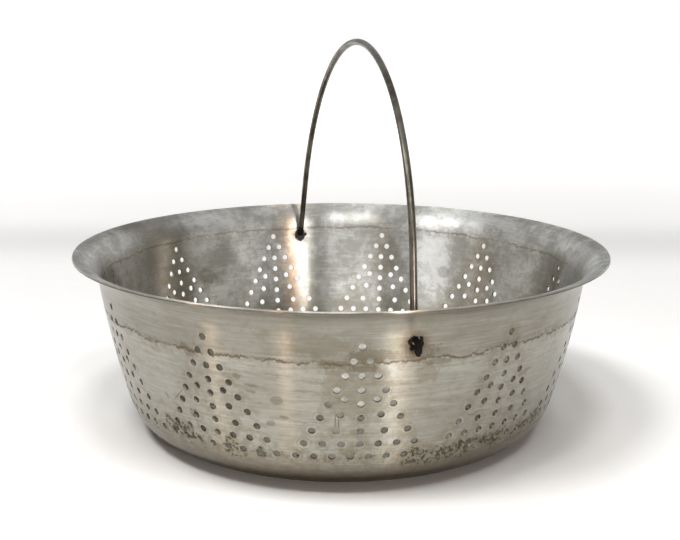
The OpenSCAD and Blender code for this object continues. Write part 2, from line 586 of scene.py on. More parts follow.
def new_group(name, inputs, outputs):
    """A shader node group with named float or vector sockets, given as (name, kind) pairs."""
    tree = bpy.data.node_groups.new(name, "ShaderNodeTree")
    for side, sockets in (("INPUT", inputs), ("OUTPUT", outputs)):
        for label, kind in sockets:
            tree.interface.new_socket(label, in_out=side, socket_type=kind)
    return tree, put(tree, "NodeGroupInput"), put(tree, "NodeGroupOutput")


def use_group(tree, group, sockets=None):
    """Places a node group in a tree."""
    node = put(tree, "ShaderNodeGroup", node_tree=group)
    for name, value in (sockets or {}).items():
        if isinstance(value, bpy.types.NodeSocket):
            tree.links.new(value, node.inputs[name])
        else:
            node.inputs[name].default_value = value
    return node


FLOAT, VECTOR = "NodeSocketFloat", "NodeSocketVector"

# %% [markdown]
# Brushing runs round a spun bowl, so its pattern needs round coordinates. A point of the bowl is
# described by the turn about the axis, and by its way along the section, for which radius plus height
# is near enough: it grows all the way from the middle of the base to the rim. Noise that is stretched
# along the turn then gives the fine marks.

# %% Group: places on the bowl


def bowl_places_group():
    """Turn in degrees, height and way along the section in millimetres, and a unit vector round."""
    tree, _, out = new_group("bowl_places", [], [("Turn", FLOAT), ("Height", FLOAT), ("Along", FLOAT),
                                                 ("Round", VECTOR), ("Point", VECTOR)])
    point = put(tree, "ShaderNodeTexCoord").outputs["Object"]
    parts = put(tree, "ShaderNodeSeparateXYZ", {"Vector": point})
    x, y, z = parts.outputs
    reach = calc(tree, "SQRT", calc(tree, "ADD", calc(tree, "MULTIPLY", x, x), calc(tree, "MULTIPLY", y, y)))
    turn = calc(tree, "MULTIPLY", calc(tree, "ARCTAN2", y, x), 180 / math.pi)
    height = calc(tree, "MULTIPLY", z, 1000)
    along = calc(tree, "MULTIPLY", calc(tree, "ADD", reach, z), 1000)
    safe = calc(tree, "MAXIMUM", reach, 1e-4)
    unit = put(tree, "ShaderNodeCombineXYZ", {"X": calc(tree, "DIVIDE", x, safe),
                                              "Y": calc(tree, "DIVIDE", y, safe)})
    for name, socket in (("Turn", turn), ("Height", height), ("Along", along),
                         ("Round", unit.outputs[0]), ("Point", point)):
        tree.links.new(socket, out.inputs[name])
    return tree


def brushing_group(places):
    """Fine marks round the bowl, from 0 to 1. Length and width are in millimetres."""
    tree, given, out = new_group("brushing", [("Length", FLOAT), ("Width", FLOAT)], [("Marks", FLOAT)])
    here = use_group(tree, places)
    turns = calc(tree, "DIVIDE", RIM_RADIUS * 1000, given.outputs["Length"])
    rows = calc(tree, "DIVIDE", here.outputs["Along"], given.outputs["Width"])
    wide = put(tree, "ShaderNodeVectorMath", {"Vector": here.outputs["Round"], "Scale": turns},
               operation="SCALE")
    flat = put(tree, "ShaderNodeSeparateXYZ", {"Vector": wide.outputs[0]})
    vector = put(tree, "ShaderNodeCombineXYZ", {"X": flat.outputs[0], "Y": flat.outputs[1], "Z": rows})
    marks = noise(tree, vector.outputs[0], 1.0, detail=6, rough=0.66)
    tree.links.new(marks, out.inputs["Marks"])
    return tree


bowl_places = bowl_places_group()
brushing = brushing_group(bowl_places)
print("groups:", [g.name for g in bpy.data.node_groups])

# %% [markdown]
# Water that stood in and round the bowl left lines and blotches. A line is a thin band about a height
# that wanders with the turn, and a blotch is noise cut at a level, a little darker at its border.

# %% Groups: water line and blotches


def water_line_group(places):
    """A wandering line round the bowl with drips and smudges: its strength, and height above it in mm."""
    tree, given, out = new_group("water_line", [("Height", FLOAT), ("Width", FLOAT), ("Wander", FLOAT),
                                                ("Seed", FLOAT)], [("Line", FLOAT), ("Above", FLOAT)])
    here = use_group(tree, places)
    shift = put(tree, "ShaderNodeCombineXYZ", {"Z": given.outputs["Seed"]})
    spot = put(tree, "ShaderNodeVectorMath", {0: here.outputs["Round"], 1: shift.outputs[0]},
               operation="ADD").outputs[0]
    slow = calc(tree, "SUBTRACT", noise(tree, spot, 5, detail=2), 0.5)
    quick = calc(tree, "SUBTRACT", noise(tree, spot, 30, detail=5, rough=0.7), 0.5)
    torn = calc(tree, "SUBTRACT", noise(tree, here.outputs["Point"], 420, detail=4, rough=0.7), 0.5)
    way = calc(tree, "ADD", calc(tree, "MULTIPLY", slow, 1.2), calc(tree, "MULTIPLY", quick, 1.0))
    level = calc(tree, "ADD", given.outputs["Height"], calc(tree, "MULTIPLY", way, given.outputs["Wander"]))
    above = calc(tree, "SUBTRACT", here.outputs["Height"], level)
    above = calc(tree, "ADD", above, calc(tree, "MULTIPLY", torn, 2.2))
    off = calc(tree, "ABSOLUTE", above)
    patchy = noise(tree, spot, 17, detail=4, rough=0.65)
    width = calc(tree, "MULTIPLY", given.outputs["Width"], calc(tree, "ADD", 0.15, patchy))
    line = calc(tree, "SUBTRACT", 1, calc(tree, "DIVIDE", off, width))
    core = calc(tree, "MULTIPLY", mask(tree, line, 0.0, 0.7), mask(tree, patchy, 0.3, 0.5))
    drop = calc(tree, "MULTIPLY", mask(tree, noise(tree, spot, 70, detail=2), 0.64, 0.78), -5.0)
    drip = calc(tree, "MULTIPLY", mask(tree, calc(tree, "SUBTRACT", above, drop), -0.2, 0.6),
                mask(tree, above, 0.4, 0.0))
    cloudy = noise(tree, spot, 9, detail=4, rough=0.6)
    smudge = calc(tree, "MULTIPLY", mask(tree, off, 5.5, 0.3), mask(tree, torn, -0.16, 0.2))
    smudge = calc(tree, "MULTIPLY", smudge, mask(tree, cloudy, 0.4, 0.62))
    strength = strongest(tree, (core, 1.0), (drip, 0.5), (smudge, 0.75))
    tree.links.new(strength, out.inputs["Line"])
    tree.links.new(above, out.inputs["Above"])
    return tree


def blotches_group(places):
    """Dried drops and stains: a mask of their area and a stronger one of their border."""
    tree, given, out = new_group("blotches", [("Size", FLOAT), ("Cover", FLOAT), ("Seed", FLOAT)],
                                 [("Area", FLOAT), ("Border", FLOAT)])
    here = use_group(tree, places)
    shift = put(tree, "ShaderNodeCombineXYZ", {"X": given.outputs["Seed"]})
    moved = put(tree, "ShaderNodeVectorMath", {0: here.outputs["Point"], 1: shift.outputs[0]},
                operation="ADD")
    scale = calc(tree, "DIVIDE", 1000, given.outputs["Size"])
    value = noise(tree, moved.outputs[0], scale, detail=5, rough=0.55, Distortion=0.4)
    over = calc(tree, "SUBTRACT", value, calc(tree, "SUBTRACT", 1, given.outputs["Cover"]))
    area = mask(tree, over, 0.0, 0.05)
    border = calc(tree, "MULTIPLY", area, mask(tree, over, 0.07, 0.015))
    tree.links.new(area, out.inputs["Area"])
    tree.links.new(border, out.inputs["Border"])
    return tree


water_line = water_line_group(bowl_places)
blotches = blotches_group(bowl_places)
print("stain groups:", water_line.name, blotches.name)

# %% [markdown]
# Dirt stays where a cloth doesn't reach: round the drain holes and round the two holes of the bail. So
# the finish has to know how far the next hole is. The holes of a group stand in rows, and in a row they
# are evenly spaced, so the nearest one is found by rounding to a whole number of steps. The smallest
# of the distances to all nine rows is the distance to the nearest hole.

# %% Group: distance to the nearest drain hole


def whole_steps(tree, side, row, count):
    """Place of the hole of one row that is nearest to the side, in millimetres."""
    if count == 1:
        return calc(tree, "MULTIPLY", side, 0)
    half = 1000 * row * ROW_SPREAD
    step = 2 * half / (count - 1)
    steps = calc(tree, "DIVIDE", side, step)
    if count % 2:
        nearest = calc(tree, "ROUND", steps)
    else:
        nearest = calc(tree, "ADD", calc(tree, "FLOOR", steps), 0.5)
    place = calc(tree, "MULTIPLY", nearest, step)
    return calc(tree, "MINIMUM", calc(tree, "MAXIMUM", place, -half), half)


def hole_distance_group(places):
    """Distance in millimetres to the middle of the nearest drain hole of the wall."""
    tree, _, out = new_group("hole_distance", [], [("Near", FLOAT)])
    here = use_group(tree, places)
    parts = put(tree, "ShaderNodeSeparateXYZ", {"Vector": here.outputs["Point"]})
    x, y, z = parts.outputs
    reach = calc(tree, "SQRT", calc(tree, "ADD", calc(tree, "MULTIPLY", x, x), calc(tree, "MULTIPLY", y, y)))
    rise = calc(tree, "ARCTAN2", calc(tree, "SUBTRACT", z, wall_mid.y), calc(tree, "SUBTRACT", reach, wall_mid.x))
    down = calc(tree, "MULTIPLY", calc(tree, "ADD", rise, math.radians(WALL_LEAN)), -1000 * WALL_RADIUS)
    groups = calc(tree, "DIVIDE", calc(tree, "ADD", here.outputs["Turn"], 90 - GROUP_TURN), 360 / GROUPS)
    part = calc(tree, "SUBTRACT", groups, calc(tree, "ROUND", groups))
    side = calc(tree, "MULTIPLY", calc(tree, "MULTIPLY", part, 2000 * math.pi / GROUPS), reach)
    nearest = 1e6
    for row, count in enumerate(ROW_COUNTS):
        place = whole_steps(tree, side, row, count)
        off = calc(tree, "SUBTRACT", side, place)
        fall = calc(tree, "SUBTRACT", down, 1000 * (FIRST_ROW + row * ROW_PITCH))
        if row in INNER_LIFT:
            step = 1000 * row * ROW_SPREAD / 2
            inner = calc(tree, "COMPARE", calc(tree, "ABSOLUTE", place), step, step / 4)
            fall = calc(tree, "ADD", fall, calc(tree, "MULTIPLY", inner, 1000 * INNER_LIFT[row]))
        square = calc(tree, "ADD", calc(tree, "MULTIPLY", off, off), calc(tree, "MULTIPLY", fall, fall))
        nearest = calc(tree, "MINIMUM", square, nearest)
    tree.links.new(calc(tree, "SQRT", nearest), out.inputs["Near"])
    return tree


hole_distance = hole_distance_group(bowl_places)
print("nodes that find the nearest hole:", len(hole_distance.nodes))

# %% [markdown]
# The bail's two holes never get clean, because the wire's end hides them. A black crust sits round the
# wire, and rust-brown water has dried about it. Each single mark of the bowl, such as a stain or a
# scratch, is placed by its turn and height. Both effects are distances again, made ragged by noise.

# %% Groups: crust at the bail's holes and single marks


def bail_crust_group(places):
    """Masks of the black crust round the bail's ends and of the brown stain about it."""
    tree, _, out = new_group("bail_crust", [], [("Crust", FLOAT), ("Stain", FLOAT)])
    here = use_group(tree, places)
    parts = put(tree, "ShaderNodeSeparateXYZ", {"Vector": here.outputs["Point"]})
    across = calc(tree, "SUBTRACT", calc(tree, "MULTIPLY", parts.outputs[0], 1000), 1000 * BAIL_OFFSET)
    fall = calc(tree, "SUBTRACT", here.outputs["Height"], 1000 * BAIL_LEVEL - 1.0)
    away = calc(tree, "SQRT", calc(tree, "ADD", calc(tree, "MULTIPLY", across, across),
                                   calc(tree, "MULTIPLY", fall, fall)))
    ragged = calc(tree, "SUBTRACT", noise(tree, here.outputs["Point"], 420, detail=3), 0.5)
    spread = calc(tree, "SUBTRACT", noise(tree, here.outputs["Point"], 150, detail=4, rough=0.65), 0.5)
    crust = mask(tree, calc(tree, "ADD", away, calc(tree, "MULTIPLY", ragged, 4.5)), 3.7, 3.0)
    stain = mask(tree, calc(tree, "ADD", away, calc(tree, "MULTIPLY", spread, 7.0)), 6.8, 3.2)
    tree.links.new(crust, out.inputs["Crust"])
    tree.links.new(stain, out.inputs["Stain"])
    return tree


def mark_group(places):
    """One mark, given by turn, height, length, width and slant. 1 in its middle, with a ragged border."""
    tree, given, out = new_group("mark", [("Turn", FLOAT), ("Height", FLOAT), ("Length", FLOAT),
                                          ("Width", FLOAT), ("Slant", FLOAT), ("Ragged", FLOAT)],
                                 [("Mask", FLOAT)])
    here = use_group(tree, places)
    turned = calc(tree, "SUBTRACT", here.outputs["Turn"], given.outputs["Turn"])
    side = calc(tree, "MULTIPLY", turned, 1000 * RIM_RADIUS * 0.85 * math.pi / 180)
    rise = calc(tree, "SUBTRACT", here.outputs["Height"], given.outputs["Height"])
    slant = calc(tree, "MULTIPLY", given.outputs["Slant"], math.pi / 180)
    cos, sin = calc(tree, "COSINE", slant), calc(tree, "SINE", slant)
    along = calc(tree, "ADD", calc(tree, "MULTIPLY", side, cos), calc(tree, "MULTIPLY", rise, sin))
    across = calc(tree, "SUBTRACT", calc(tree, "MULTIPLY", rise, cos), calc(tree, "MULTIPLY", side, sin))
    along = calc(tree, "DIVIDE", along, calc(tree, "DIVIDE", given.outputs["Length"], 2))
    across = calc(tree, "DIVIDE", across, calc(tree, "DIVIDE", given.outputs["Width"], 2))
    away = calc(tree, "SQRT", calc(tree, "ADD", calc(tree, "MULTIPLY", along, along),
                                   calc(tree, "MULTIPLY", across, across)))
    ragged = calc(tree, "SUBTRACT", noise(tree, here.outputs["Point"], 330, detail=4, rough=0.7), 0.5)
    away = calc(tree, "ADD", away, calc(tree, "MULTIPLY", ragged, given.outputs["Ragged"]))
    tree.links.new(mask(tree, away, 1.1, 0.75), out.inputs["Mask"])
    return tree


bail_crust = bail_crust_group(bowl_places)
mark = mark_group(bowl_places)
print("groups of dirt:", bail_crust.name, mark.name)

# %% [markdown]
# The steel itself is one idea with different values outside and inside: a warm grey metal, brushed
# round, clouded by wear, with stains on top. Stains are no metal, so they lower Metallic and raise
# Roughness where they lie. Anisotropy draws each reflection out across the brushing, which gives the
# upright bands of light that a spun bowl shows.

# %% Steel of the bowl: colours and shader
STEEL_BRIGHT = (0.90, 0.89, 0.845, 1)
STEEL_DULL = (0.50, 0.485, 0.435, 1)
STEEL_BROWN = (0.38, 0.33, 0.24, 1)
WORN_STEEL = (0.37, 0.358, 0.315, 1)
WORN_BRIGHT = (0.50, 0.49, 0.435, 1)
WORN_DULL = (0.265, 0.252, 0.21, 1)
WORN_BROWN_AND_SHADE = (0.205, 0.172, 0.115, 1)
STAIN_AND_SHADE = (0.13, 0.10, 0.06, 1)
GRIME_AND_SHADE = (0.05, 0.043, 0.027, 1)
CRUST = (0.012, 0.01, 0.008, 1)


def steel_shader(tree):
    """An empty material tree's output and its metal shader, brushed round the bowl's axis."""
    tree.nodes.clear()
    out = put(tree, "ShaderNodeOutputMaterial")
    round_bowl = put(tree, "ShaderNodeTangent", direction_type="RADIAL", axis="Z")
    metal = put(tree, "ShaderNodeBsdfPrincipled", {"Metallic": 1.0, "Anisotropic": 1.0,
                                                   "Anisotropic Rotation": 0.25,
                                                   "Specular IOR Level": 0.12,
                                                   "Tangent": round_bowl.outputs[0]})
    tree.links.new(metal.outputs[0], out.inputs[0])
    return metal


def brushed_relief(tree, metal, fine, coarse, strength):
    """Bump of the brushing marks."""
    relief = calc(tree, "ADD", calc(tree, "MULTIPLY", fine, 0.4), calc(tree, "MULTIPLY", coarse, 0.6))
    bump = put(tree, "ShaderNodeBump", {"Strength": strength, "Distance": 0.00006, "Height": relief})
    tree.links.new(bump.outputs[0], metal.inputs["Normal"])


print("steel from", STEEL_DULL[:3], "to", STEEL_BRIGHT[:3])

# %% [markdown]
# Outside, the bowl has been in dish water up to one height for years: a brown line marks it, the steel
# below the line is a little paler, and each hole has a pale ring where water dried round it. Between
# the lowest holes old grime has stayed, and the corner is darkened towards the table by painted shade
# of its contact with the floor, over some dirt. A thin painted shadow runs just under the rim. The
# marks that catch the eye are placed one by one.

# %% Finish of the outside
GRIME_PATCHES = [
    # turn, height, length, width, slant, raggedness
    (-143.5, 21.5, 24.0, 8.0, -8, 3.4),
    (-129.0, 19.0, 8.0, 11.0, 0, 3.4),
    (-121.8, 17.8, 6.0, 6.0, 0, 3.0),
    (-137.8, 31.3, 4.5, 3.5, 0, 2.4),
    (-86.2, 16.4, 14.0, 9.0, -10, 3.2),
    (-76.5, 17.0, 28.0, 9.0, 8, 3.2),
    (-65.5, 18.0, 18.0, 8.0, 8, 3.4),
    (-50.0, 19.0, 26.0, 8.0, 5, 3.8),
    (-20.0, 20.0, 20.0, 8.0, 0, 3.8),
    (22.0, 20.0, 24.0, 8.0, 0, 3.6),
    (105.0, 21.0, 22.0, 9.0, 6, 3.6),
    (160.0, 20.0, 22.0, 8.0, 0, 3.6),
]
BROWN_MARKS = [
    (-116.8, 43.7, 5.6, 4.2, 0, 0.5),
    (-145.8, 36.0, 3.4, 1.4, -50, 0.5),
    (-122.3, 49.5, 6.0, 1.6, -4, 0.8),
    (-122.3, 46.6, 5.0, 1.3, -4, 0.8),
    (-125.2, 52.5, 3.4, 3.0, 0, 1.2),
    (-115.3, 36.2, 4.4, 1.7, -6, 1.0),
    (-118.4, 33.0, 4.0, 3.0, 0, 1.4),
    (-97.5, 64.0, 20.0, 5.5, 0, 2.4),
    (-136.3, 60.4, 8.0, 5.0, -35, 2.4),
    (-99.0, 58.5, 12.0, 3.0, 0, 2.6),
    (-88.0, 64.5, 14.0, 8.0, 0, 2.8),
    (-84.0, 60.0, 12.0, 3.0, 0, 2.2),
    (-105.0, 60.5, 12.0, 4.0, 0, 2.6),
    (-60.0, 47.0, 9.0, 3.0, 10, 2.0),
    (35.0, 50.0, 12.0, 5.0, 0, 2.0),
    (130.0, 60.0, 16.0, 5.0, 0, 2.4),
    (-172.0, 40.0, 10.0, 4.0, 20, 2.0),
]
BROWN_FILMS = [
    (-100.0, 50.0, 30.0, 30.0, 0, 1.2),
    (-92.0, 66.0, 11.0, 16.0, 0, 1.6),
    (-86.0, 55.0, 10.0, 9.0, 0, 1.8),
    (-108.0, 68.0, 26.0, 10.0, 0, 1.6),
    (20.0, 45.0, 30.0, 24.0, 0, 1.4),
    (140.0, 52.0, 26.0, 28.0, 0, 1.4),
]
DRIED_LOBES = [
    (-87.6, 64.6, 8.5, 4.4, 0, 0.9),
    (-73.4, 61.6, 9.0, 3.6, 0, 1.1),
    (60.0, 63.0, 10.0, 5.0, 0, 1.1),
    (170.0, 63.5, 8.0, 4.0, 0, 1.1),
]
SCRATCHES = [
    (-141.6, 38.6, 11.0, 0.4, 43, 0.3),
    (-104.7, 36.0, 7.4, 0.4, 89, 0.3),
    (-104.0, 34.5, 5.0, 0.35, 90, 0.3),
    (-74.0, 33.0, 5.0, 0.35, -12, 0.3),
    (60.0, 38.0, 9.0, 0.4, 30, 0.3),
    (170.0, 45.0, 7.0, 0.4, -40, 0.3),
]


def marks_at(tree, rows):
    """The largest mask of a list of marks."""
    names = ("Turn", "Height", "Length", "Width", "Slant", "Ragged")
    return strongest(tree, *((use_group(tree, mark, dict(zip(names, map(float, row)))).outputs[0], 1.0)
                             for row in rows))


def outer_steel():
    """The outside of the bowl: brushed, with a water line, ringed holes, grime low down and painted shade at the
    foot.
    """
    material = bpy.data.materials.new("outer_steel")
    material.use_nodes = True
    tree = material.node_tree
    metal = steel_shader(tree)
    here = use_group(tree, bowl_places)
    point, height = here.outputs["Point"], here.outputs["Height"]
    fine = use_group(tree, brushing, {"Length": 14.0, "Width": 0.6}).outputs[0]
    coarse = use_group(tree, brushing, {"Length": 30.0, "Width": 1.5}).outputs[0]
    smear = use_group(tree, brushing, {"Length": 9.0, "Width": 3.0}).outputs[0]
    cloud = noise(tree, point, 26, detail=7, rough=0.66)
    ragged = calc(tree, "SUBTRACT", noise(tree, point, 260, detail=4, rough=0.65), 0.5)
    speck = noise(tree, point, 520, detail=5, rough=0.72)
    line = use_group(tree, water_line, {"Height": 61.2, "Width": 1.15, "Wander": 5.5, "Seed": 3.0})
    above = line.outputs["Above"]
    wet = mask(tree, above, 0.5, -0.5)
    spots = use_group(tree, blotches, {"Size": 7.0, "Cover": 0.44, "Seed": 0.4})
    crust = use_group(tree, bail_crust)
    away = calc(tree, "ADD", use_group(tree, hole_distance).outputs[0], calc(tree, "MULTIPLY", ragged, 3.0))
    ringed = mask(tree, noise(tree, point, 75, detail=2), 0.46, 0.62)
    ring = calc(tree, "MULTIPLY", mask(tree, away, 2.4, 1.9), ringed)
    ring_edge = calc(tree, "MULTIPLY", mask(tree, away, 3.0, 2.8), mask(tree, away, 2.35, 2.6))
    among_holes = mask(tree, away, 6.5, 3.0)
    low = mask(tree, height, 36, 16)
    patches = marks_at(tree, GRIME_PATCHES)
    grime = mask(tree, calc(tree, "ADD", speck, calc(tree, "MULTIPLY", patches, 0.3)), 0.76, 0.83)
    low_holes = calc(tree, "MULTIPLY", low, among_holes)
    specks = mask(tree, calc(tree, "ADD", speck, calc(tree, "MULTIPLY", low_holes, 0.2)), 0.75, 0.82)
    lobes = marks_at(tree, DRIED_LOBES)
    lobe_edge = calc(tree, "MULTIPLY", calc(tree, "MULTIPLY", lobes, calc(tree, "SUBTRACT", 1, lobes)), 4)
    colour = blend_colour(tree, mask(tree, cloud, 0.32, 0.7), WORN_STEEL, WORN_DULL)
    colour = paint_layers(tree, colour, (
        (wet, 0.25, WORN_BRIGHT),
        (mask(tree, above, -1, 3), 0.3, WORN_DULL),
        (calc(tree, "MULTIPLY", wet, mask(tree, above, -9, -1)), 0.3, WORN_BRIGHT),
        (mask(tree, fine, 0.46, 0.66), 0.45, WORN_DULL),
        (mask(tree, coarse, 0.5, 0.7), 0.4, WORN_BRIGHT),
        (mask(tree, coarse, 0.5, 0.34), 0.3, WORN_BROWN_AND_SHADE),
        (mask(tree, smear, 0.5, 0.68), 0.35, WORN_BROWN_AND_SHADE),
        (calc(tree, "MULTIPLY", among_holes, mask(tree, ragged, -0.08, 0.14)), 0.4, WORN_BROWN_AND_SHADE),
        (spots.outputs["Border"], 0.4, WORN_BROWN_AND_SHADE),
        (calc(tree, "MULTIPLY", ring_edge, ringed), 0.3, WORN_BROWN_AND_SHADE),
        (ring, 0.2, WORN_BRIGHT),
        (calc(tree, "MULTIPLY", low, mask(tree, ragged, -0.1, 0.1)), 0.35, WORN_BROWN_AND_SHADE),
        # painted shade: the corner is darkened towards the table for the shadow at its contact with the floor,
        # over some dirt
        (mask(tree, height, 24, 9), 0.55, STAIN_AND_SHADE),
        (mask(tree, height, 12, 5), 0.7, STAIN_AND_SHADE),
        (mask(tree, height, 7, 2), 0.9, GRIME_AND_SHADE),
        # painted shadow: a thin dark line just under the rim, where the lip shades the wall
        (mask(tree, here.outputs["Along"], 209.4, 210.2), 0.7, STAIN_AND_SHADE),
        (marks_at(tree, BROWN_FILMS), 0.4, WORN_BROWN_AND_SHADE),
        (lobes, 0.1, WORN_BRIGHT),
        (lobe_edge, 0.4, STAIN_AND_SHADE),
        (marks_at(tree, BROWN_MARKS), 0.45, STAIN_AND_SHADE),
        (specks, 0.7, STAIN_AND_SHADE),
        (line.outputs["Line"], 0.85, STAIN_AND_SHADE),
        (patches, 0.3, WORN_BROWN_AND_SHADE),
        (grime, 0.85, GRIME_AND_SHADE),
        (crust.outputs["Stain"], 0.6, STAIN_AND_SHADE),
        (marks_at(tree, SCRATCHES), 0.85, STAIN_AND_SHADE),
        (crust.outputs["Crust"], 1.0, CRUST),
    ))
    tree.links.new(colour, metal.inputs["Base Color"])
    # the painted shade at the foot also lowers Metallic there, so that its dark colour shows
    dirt = strongest(tree, (line.outputs["Line"], 0.7), (grime, 0.8), (specks, 0.5), (lobe_edge, 0.4),
                     (mask(tree, height, 5, 2), 0.8), (crust.outputs["Stain"], 0.4),
                     (crust.outputs["Crust"], 1.0))
    rough = calc(tree, "ADD", 0.25, calc(tree, "MULTIPLY", coarse, 0.08))
    rough = calc(tree, "ADD", rough, calc(tree, "MULTIPLY", dirt, 0.25))
    rough = calc(tree, "SUBTRACT", rough, calc(tree, "MULTIPLY", mask(tree, height, 18, 5), 0.13))
    tree.links.new(rough, metal.inputs["Roughness"])
    tree.links.new(calc(tree, "SUBTRACT", 1, dirt), metal.inputs["Metallic"])
    brushed_relief(tree, metal, fine, coarse, 0.3)
    return material


bowl.data.materials[OUTER] = outer_steel()
print("outside:", len(bowl.data.materials[OUTER].node_tree.nodes), "nodes")

# %% [markdown]
# Inside, the steel is cloudier. Food has left a brown tinge among the holes and a line just under the
# flare, and scouring has left bright and dull patches side by side. The foot of the wall and the base
# are painted darker and browner, a painted shade that stands in for the dark reflections seen through
# the holes, except for one place: it is seen through the middle holes of the front, which stay pale
# for that reason, while those at the left and right look dark.

# %% Finish of the inside
STAINS_INSIDE = [
    (43.8, 50.0, 8.0, 7.0, 0, 0.5),
    (120.0, 50.0, 14.0, 8.0, 20, 1.4),
    (-60.0, 50.0, 12.0, 8.0, 0, 1.2),
]
BROWN_TURN = 138
UNSHADED_SPOT = (0.015 * math.cos(CAMERA_TURN) - 0.055 * math.sin(CAMERA_TURN),
              0.015 * math.sin(CAMERA_TURN) + 0.055 * math.cos(CAMERA_TURN), 0)
UNSHADED_SIZE = (0.028, 0.058, 1)
SCOURED_INSIDE = [
    (47.0, 55.0, 20.0, 36.0, 0, 1.6),
    (95.0, 45.0, 14.0, 20.0, 0, 1.6),
]


def inner_steel():
    """The inside of the bowl: cloudy brushed steel, brown among the holes and at a line under the rim, with
    painted shade low down.
    """
    material = bpy.data.materials.new("inner_steel")
    material.use_nodes = True
    tree = material.node_tree
    metal = steel_shader(tree)
    here = use_group(tree, bowl_places)
    point = here.outputs["Point"]
    fine = use_group(tree, brushing, {"Length": 9.0, "Width": 0.8}).outputs[0]
    coarse = use_group(tree, brushing, {"Length": 16.0, "Width": 2.6}).outputs[0]
    cloud = noise(tree, point, 42, detail=8, rough=0.72)
    ragged = calc(tree, "SUBTRACT", noise(tree, point, 240, detail=4, rough=0.65), 0.5)
    spots = use_group(tree, blotches, {"Size": 6.0, "Cover": 0.45, "Seed": 4.1})
    line = use_group(tree, water_line, {"Height": 72.2, "Width": 1.2, "Wander": 3.4, "Seed": 8.0})
    crust = use_group(tree, bail_crust)
    away = calc(tree, "ADD", use_group(tree, hole_distance).outputs[0], calc(tree, "MULTIPLY", ragged, 4))
    among_holes = calc(tree, "MULTIPLY", mask(tree, away, 8.0, 2.5), mask(tree, cloud, 0.34, 0.56))
    marks = marks_at(tree, STAINS_INSIDE)
    off_turn = calc(tree, "ABSOLUTE", calc(tree, "SUBTRACT", here.outputs["Turn"], BROWN_TURN))
    scoured = marks_at(tree, SCOURED_INSIDE)
    # painted shade: low wall and base darkened away from one spot, which is seen through the middle front holes
    unshaded_place = put(tree, "ShaderNodeMapping", {"Vector": point, "Location": UNSHADED_SPOT, "Scale": UNSHADED_SIZE,
                                                "Rotation": (0, 0, CAMERA_TURN)}, vector_type="TEXTURE").outputs[0]
    flat = put(tree, "ShaderNodeVectorMath", {0: unshaded_place, 1: (1, 1, 0)}, operation="MULTIPLY").outputs[0]
    far = put(tree, "ShaderNodeVectorMath", {0: flat}, operation="LENGTH").outputs["Value"]
    shaded_low = mask(tree, calc(tree, "ADD", far, ragged), 0.8, 1.2)
    low_painted_shade = calc(tree, "MULTIPLY", mask(tree, here.outputs["Height"], 40, 20), shaded_low)
    colour = blend_colour(tree, mask(tree, cloud, 0.40, 0.60), STEEL_BRIGHT, STEEL_DULL)
    colour = paint_layers(tree, colour, (
        (mask(tree, fine, 0.46, 0.64), 0.45, STEEL_DULL),
        (mask(tree, coarse, 0.5, 0.66), 0.45, STEEL_BRIGHT),
        # painted shade low down, with the spot under the middle front holes left out
        (low_painted_shade, 0.7, WORN_BROWN_AND_SHADE),
        (scoured, 0.6, STEEL_BRIGHT),
        (spots.outputs["Area"], 0.25, STEEL_DULL),
        (spots.outputs["Border"], 0.3, STEEL_BROWN),
        (among_holes, 0.5, STEEL_BROWN),
        (marks, 0.4, WORN_BROWN_AND_SHADE),
        (mask(tree, off_turn, 20, 5), 0.5, WORN_BROWN_AND_SHADE),
        (line.outputs["Line"], 0.55, STAIN_AND_SHADE),
        (crust.outputs["Stain"], 0.5, STAIN_AND_SHADE),
        (crust.outputs["Crust"], 1.0, CRUST),
    ))
    tree.links.new(colour, metal.inputs["Base Color"])
    dirt = strongest(tree, (line.outputs["Line"], 0.5), (crust.outputs["Stain"], 0.4),
                     (crust.outputs["Crust"], 1.0))
    rough = calc(tree, "ADD", 0.27, calc(tree, "MULTIPLY", coarse, 0.08))
    rough = calc(tree, "ADD", rough, calc(tree, "MULTIPLY", spots.outputs["Area"], 0.05))
    lip = mask(tree, here.outputs["Along"], 202, 208)
    rough = calc(tree, "ADD", rough, calc(tree, "MULTIPLY", lip, 0.18))
    tree.links.new(rough, metal.inputs["Roughness"])
    tree.links.new(calc(tree, "SUBTRACT", 1, dirt), metal.inputs["Metallic"])
    brushed_relief(tree, metal, fine, coarse, 0.3)
    return material


bowl.data.materials[INNER] = inner_steel()
print("inside:", len(bowl.data.materials[INNER].node_tree.nodes), "nodes")

# %% [markdown]
# The cut edge of the rim is worn, with dark dirt in its low places and painted shade along its lower
# corner, standing in for the shadow under the lip. The edges of the holes are darker and rougher,
# because a punch tears the last part of its way.

# %% Finish of the cut edges


def edge_steel(name, colour, worn, rough, under_shade):
    """Cut steel at the rim and in the holes: brighter where it is worn, with painted shade below the rim's corner.
    """
    material = bpy.data.materials.new(name)
    material.use_nodes = True
    tree = material.node_tree
    metal = steel_shader(tree)
    here = use_group(tree, bowl_places)
    patchy = noise(tree, here.outputs["Point"], 160, detail=4, rough=0.6)
    crust = use_group(tree, bail_crust).outputs["Crust"]
    blend = blend_colour(tree, mask(tree, patchy, 0.35, 0.65), colour, worn)
    # painted shade: the lower corner of the cut edge is darkened for the shadow under the lip
    low = mask(tree, here.outputs["Height"], 1000 * RIM_HEIGHT - 0.3, 1000 * RIM_HEIGHT - 0.6)
    blend = paint_layers(tree, blend, ((low, under_shade, STAIN_AND_SHADE),))
    tree.links.new(blend_colour(tree, crust, blend, CRUST), metal.inputs["Base Color"])
    tree.links.new(calc(tree, "ADD", rough, calc(tree, "MULTIPLY", patchy, 0.2)),
                   metal.inputs["Roughness"])
    return material


